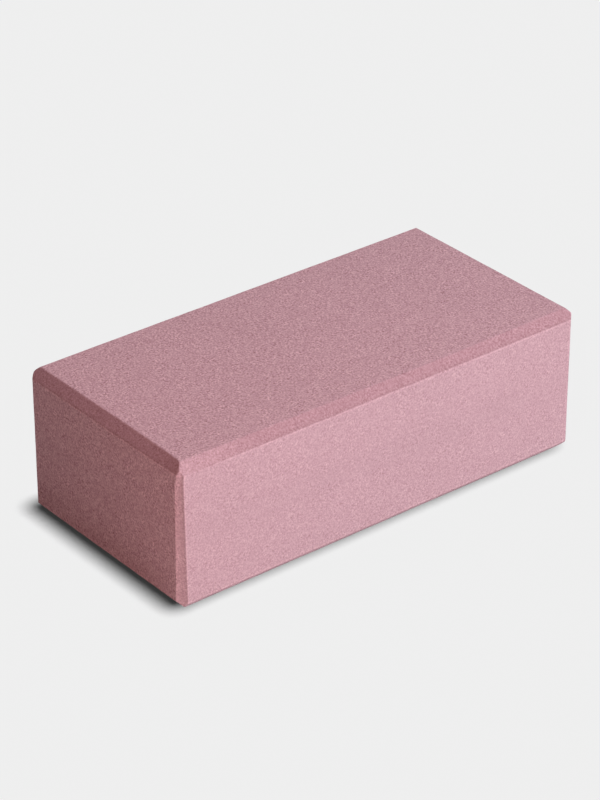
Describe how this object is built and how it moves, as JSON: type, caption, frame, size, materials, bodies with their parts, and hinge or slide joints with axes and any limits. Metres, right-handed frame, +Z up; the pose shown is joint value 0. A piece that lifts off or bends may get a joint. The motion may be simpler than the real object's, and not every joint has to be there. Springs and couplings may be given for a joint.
{
  "type": "yoga block",
  "caption": "Rectangular rose-pink closed-cell foam block with bevelled edges, laid flat, on its side or on end to support a hand or the body in yoga.",
  "frame": {"origin": "centre of the base face, on the surface that the block lies on", "axes": "+X along the length, +Y across the width to the back, +Z up through the thickness"},
  "size_m": [0.23, 0.1146, 0.074],
  "materials": {
    "foam": "matte fine-celled EVA foam, sawn sides, routed bevels",
    "bond": "thin tinted hot-melt film, trimmed flush"
  },
  "bodies": {
    "root": {"lower_foam_sheet": "foam", "bond_film": "bond", "upper_foam_sheet": "foam"}
  },
  "joints": []
}
